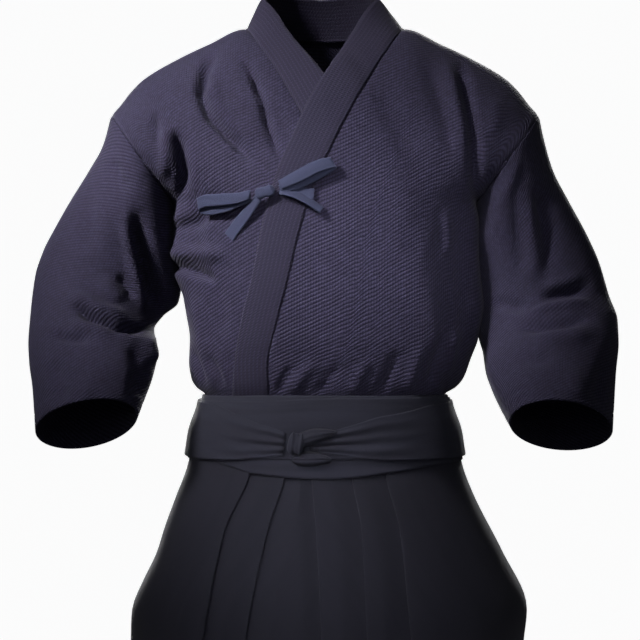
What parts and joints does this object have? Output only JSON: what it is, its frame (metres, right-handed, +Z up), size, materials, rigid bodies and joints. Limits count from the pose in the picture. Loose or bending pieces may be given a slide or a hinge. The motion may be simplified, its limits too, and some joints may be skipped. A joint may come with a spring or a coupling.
{
  "type": "kendo uniform",
  "caption": "Worn, hollow kendo uniform: woven indigo jacket crossed left over right with a chest bow, over pleated divided trousers with a waist strap knotted in front.",
  "frame": {"origin": "middle of the neck opening, level with the points where the shoulders start, where the wearer's shoulders carry the jacket", "axes": "+Z up, -Y out of the front of the garment, +X towards the wearer's left, which is the right of the picture"},
  "size_m": [0.76, 0.4111, 1.4406],
  "materials": {
    "jacket_cloth": "matte rice-grain weave, deep indigo with a violet cast",
    "collar_cloth": "matte, close parallel stitching along the band",
    "tie_tape": "smooth plain-woven tape with a slight sheen",
    "trouser_cloth": "smooth matte plain cotton, blue-black",
    "strap_cloth": "matte plain cotton in folded layers, blue-black"
  },
  "bodies": {
    "root": {"jacket_body_left": "jacket_cloth", "jacket_body_right": "jacket_cloth", "sleeve_left": "jacket_cloth", "sleeve_right": "jacket_cloth", "collar": "collar_cloth", "tie_root": "tie_tape", "tie_tail_left": "tie_tape", "tie_tail_right": "tie_tape", "tie_loop_left": "tie_tape", "tie_loop_right": "tie_tape", "tie_knot": "tie_tape", "trouser_front_left": "trouser_cloth", "trouser_front_right": "trouser_cloth", "trouser_back_left": "trouser_cloth", "trouser_back_right": "trouser_cloth", "inner_leg_left": "trouser_cloth", "inner_leg_right": "trouser_cloth", "back_board": "trouser_cloth", "front_strap_inner": "strap_cloth", "front_strap_outer": "strap_cloth", "back_strap_left": "strap_cloth", "back_strap_right": "strap_cloth", "strap_knot": "strap_cloth", "strap_knot_end_upper": "strap_cloth", "strap_knot_end_lower": "strap_cloth"}
  },
  "joints": []
}
